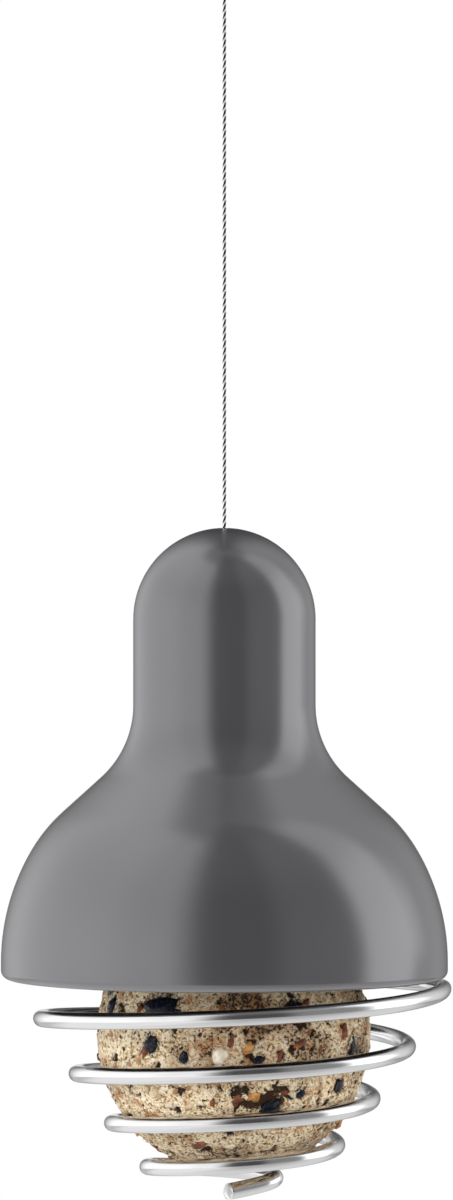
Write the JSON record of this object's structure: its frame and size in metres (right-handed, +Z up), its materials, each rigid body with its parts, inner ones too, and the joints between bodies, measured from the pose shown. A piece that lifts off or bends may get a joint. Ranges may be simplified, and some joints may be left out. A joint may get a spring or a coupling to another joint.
{
  "type": "hanging bird feeder",
  "caption": "Hanging bird feeder: a grey glazed bell slides on a steel wire rope and roofs over a conical steel wire coil that holds a fat ball.",
  "frame": {"origin": "inner top of the hanging loop, where a hook carries the feeder", "axes": "+Z up along the rope, +X to the right and -Y towards the viewer of the picture"},
  "size_m": [0.1081, 0.1072, 0.3286],
  "materials": {
    "grey_glaze": "satin",
    "coil_wire": "satin",
    "wire_rope": "satin",
    "ferrule_metal": "satin",
    "washer_steel": "satin",
    "fat_and_seed": "matte"
  },
  "bodies": {
    "hook_loop": {"top_loop": "wire_rope", "top_ferrule": "ferrule_metal"},
    "rope": {"hanging_rope": "wire_rope", "foot_ferrule": "ferrule_metal"},
    "washer": {"stop_washer": "washer_steel"},
    "bell": {"bell": "grey_glaze"},
    "coil": {"coil": "coil_wire"},
    "ball": {"fat_ball": "fat_and_seed"}
  },
  "joints": [
    {"name": "feeder_swing", "type": "hinge", "parent": "hook_loop", "child": "rope", "pos_m": [0, 0, -0.0352], "axis": [0, 1, 0], "range_deg": [-25, 25]},
    {"name": "bell_spin", "type": "hinge", "parent": "rope", "child": "washer", "pos_m": [0, 0, -0.173], "axis": [0, 0, 1], "continuous": true},
    {"name": "bell_lift", "type": "slide", "parent": "washer", "child": "bell", "axis": [0, 0, 1], "range_m": [0, 0.128]},
    {"name": "coil_swivel", "type": "hinge", "parent": "rope", "child": "coil", "pos_m": [0, 0, -0.19], "axis": [0, 0, 1], "range_deg": [-30, 30]},
    {"name": "ball_lift", "type": "slide", "parent": "coil", "child": "ball", "axis": [0, 0, 1], "range_m": [0, 0.03]}
  ]
}
